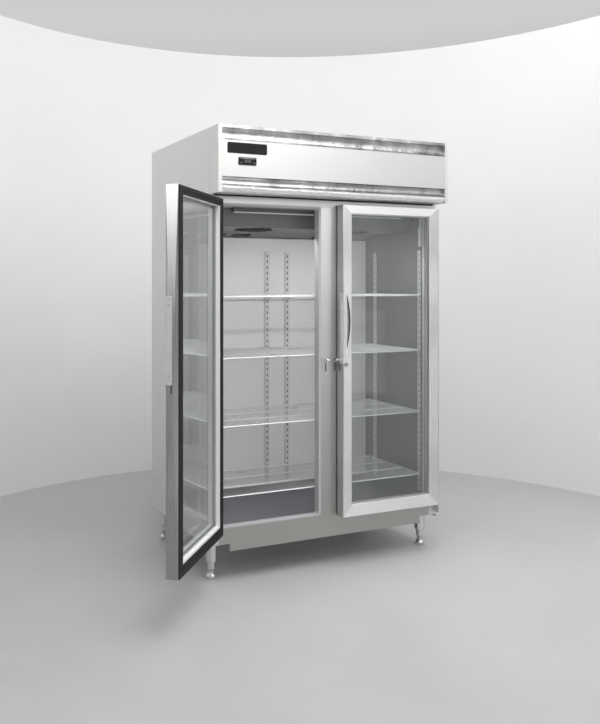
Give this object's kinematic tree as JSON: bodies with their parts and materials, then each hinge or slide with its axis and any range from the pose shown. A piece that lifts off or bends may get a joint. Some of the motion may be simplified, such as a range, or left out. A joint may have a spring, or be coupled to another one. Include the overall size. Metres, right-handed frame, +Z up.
{
  "type": "glass door merchandiser",
  "caption": "Upright two-section refrigerated merchandiser on legs with hinged glass doors, wire shelves and a refrigeration unit inside a top hood.",
  "frame": {"origin": "on the floor, midway across the cabinet, 42 mm in front of the plane that the doors close on", "axes": "+Z up, +Y from the doors to the back, +X to the right seen from the front"},
  "size_m": [1.7188, 1.3366, 2.155],
  "materials": {
    "cabinet_side_sheet": "warm light grey satin sheet",
    "back_sheet": "plain galvanised sheet",
    "structure_sheet": "zinc grey",
    "foam": "closed-cell foam, hidden between the sheets",
    "liner_sheet": "light grey",
    "front_sheet": "bright satin, brushed",
    "mullion_sheet": "vertical brush",
    "trim_plastic": "off-white breaker strip",
    "kick_sheet": "warm grey satin",
    "polished_sheet": "polished rolled sheet",
    "black_gloss": "gloss black",
    "button_rubber": "dark grey",
    "unit_steel": "grey",
    "black_enamel": "black enamel",
    "coil_fins": "fin pack with copper tubes",
    "evaporator_fins": "fin pack",
    "copper": "bare copper pipe",
    "housing_sheet": "dark grey",
    "lamp_cover": "frosted white",
    "pilaster_steel": "grey",
    "bright_wire": "silver coated wire",
    "hinge_steel": "satin",
    "leg_steel": "satin tube",
    "door_sheet": "bright satin, brushed along each member",
    "gasket_black": "matte black",
    "clear_glass": "clear insulated pane",
    "pull_steel": "satin chrome",
    "lock_steel": "satin chrome",
    "fan_plastic": "dark grey"
  },
  "bodies": {
    "cabinet": {"side_panel_left": "cabinet_side_sheet", "side_panel_right": "cabinet_side_sheet", "back_panel": "back_sheet", "base_frame": "structure_sheet", "top_deck": "structure_sheet", "foam_core": "foam", "liner": "liner_sheet", "face_frame": "front_sheet", "centre_mullion": "mullion_sheet", "breaker_strips": "trim_plastic", "kick_panel": "kick_sheet", "hood_side_left": "cabinet_side_sheet", "hood_side_right": "cabinet_side_sheet", "hood_rails": "cabinet_side_sheet", "hood_front_panel": "front_sheet", "hood_trims": "polished_sheet", "badge_plate": "black_gloss", "controller_body": "black_gloss", "unit_base": "unit_steel", "compressor": "black_enamel", "condenser_coil": "coil_fins", "condenser_shroud": "black_enamel", "condenser_fan_motor": "unit_steel", "refrigerant_lines": "copper", "control_box": "unit_steel", "evaporator_housing": "housing_sheet", "evaporator_coil": "evaporator_fins", "evaporator_fan_mounts": "fan_plastic", "light_strips": "lamp_cover", "pilasters": "pilaster_steel", "shelf_clips": "bright_wire", "strikes": "hinge_steel", "cabinet_hinges": "hinge_steel", "legs": "leg_steel", "feet": "leg_steel"},
    "condenser_fan": {"condenser_fan_blade": "fan_plastic"},
    "evaporator_fan_left": {"evaporator_fan_left": "fan_plastic"},
    "evaporator_fan_right": {"evaporator_fan_right": "fan_plastic"},
    "controller_button_left": {"controller_button_left": "button_rubber"},
    "controller_button_right": {"controller_button_right": "button_rubber"},
    "shelf_left_1": {"shelf_left_1": "bright_wire"},
    "shelf_left_2": {"shelf_left_2": "bright_wire"},
    "shelf_left_3": {"shelf_left_3": "bright_wire"},
    "shelf_left_4": {"shelf_left_4": "bright_wire"},
    "door_left": {"door_left_frame": "door_sheet", "door_left_gasket": "gasket_black", "door_left_glass": "clear_glass", "door_left_handle": "pull_steel", "door_left_hinges": "hinge_steel"},
    "lock_left": {"door_left_lock": "lock_steel"},
    "shelf_right_1": {"shelf_right_1": "bright_wire"},
    "shelf_right_2": {"shelf_right_2": "bright_wire"},
    "shelf_right_3": {"shelf_right_3": "bright_wire"},
    "shelf_right_4": {"shelf_right_4": "bright_wire"},
    "door_right": {"door_right_frame": "door_sheet", "door_right_gasket": "gasket_black", "door_right_glass": "clear_glass", "door_right_handle": "pull_steel", "door_right_hinges": "hinge_steel"},
    "lock_right": {"door_right_lock": "lock_steel"}
  },
  "joints": [
    {"name": "door_left_hinge", "type": "hinge", "parent": "cabinet", "child": "door_left", "pos_m": [-0.6408, 0.0051, 1], "axis": [0, 0, 1], "range_deg": [-3.6, 131.4]},
    {"name": "door_right_hinge", "type": "hinge", "parent": "cabinet", "child": "door_right", "pos_m": [0.6408, 0.0051, 1], "axis": [0, 0, 1], "range_deg": [0, 135]},
    {"name": "lock_left_turn", "type": "hinge", "parent": "door_left", "child": "lock_left", "pos_m": [-1.03829, -0.42595, 1.013], "axis": [-0.7501, 0.6613, 0], "range_deg": [0, 90]},
    {"name": "lock_right_turn", "type": "hinge", "parent": "door_right", "child": "lock_right", "pos_m": [0.0546, -0.008, 1.013], "axis": [0, 1, 0], "range_deg": [0, 90]},
    {"name": "shelf_left_1_lift", "type": "slide", "parent": "cabinet", "child": "shelf_left_1", "axis": [0, 0, 1], "range_m": [0, 0.012]},
    {"name": "shelf_left_2_lift", "type": "slide", "parent": "cabinet", "child": "shelf_left_2", "axis": [0, 0, 1], "range_m": [0, 0.012]},
    {"name": "shelf_left_3_lift", "type": "slide", "parent": "cabinet", "child": "shelf_left_3", "axis": [0, 0, 1], "range_m": [0, 0.012]},
    {"name": "shelf_left_4_lift", "type": "slide", "parent": "cabinet", "child": "shelf_left_4", "axis": [0, 0, 1], "range_m": [0, 0.012]},
    {"name": "shelf_right_1_lift", "type": "slide", "parent": "cabinet", "child": "shelf_right_1", "axis": [0, 0, 1], "range_m": [0, 0.012]},
    {"name": "shelf_right_2_lift", "type": "slide", "parent": "cabinet", "child": "shelf_right_2", "axis": [0, 0, 1], "range_m": [0, 0.012]},
    {"name": "shelf_right_3_lift", "type": "slide", "parent": "cabinet", "child": "shelf_right_3", "axis": [0, 0, 1], "range_m": [0, 0.012]},
    {"name": "shelf_right_4_lift", "type": "slide", "parent": "cabinet", "child": "shelf_right_4", "axis": [0, 0, 1], "range_m": [0, 0.012]},
    {"name": "button_left_press", "type": "slide", "parent": "cabinet", "child": "controller_button_left", "axis": [0, 1, 0], "range_m": [0, 0.0007], "stiffness_N_per_m": 400, "springref_m": -0.001},
    {"name": "button_right_press", "type": "slide", "parent": "cabinet", "child": "controller_button_right", "axis": [0, 1, 0], "range_m": [0, 0.0007], "stiffness_N_per_m": 400, "springref_m": -0.001},
    {"name": "condenser_fan_spin", "type": "hinge", "parent": "cabinet", "child": "condenser_fan", "pos_m": [0, 0.352, 1.996], "axis": [0, -1, 0], "continuous": true},
    {"name": "evaporator_fan_left_spin", "type": "hinge", "parent": "cabinet", "child": "evaporator_fan_left", "pos_m": [-0.3, 0.3, 1.712], "axis": [0, 0, 1], "continuous": true},
    {"name": "evaporator_fan_right_spin", "type": "hinge", "parent": "cabinet", "child": "evaporator_fan_right", "pos_m": [0.3, 0.3, 1.712], "axis": [0, 0, 1], "continuous": true}
  ]
}
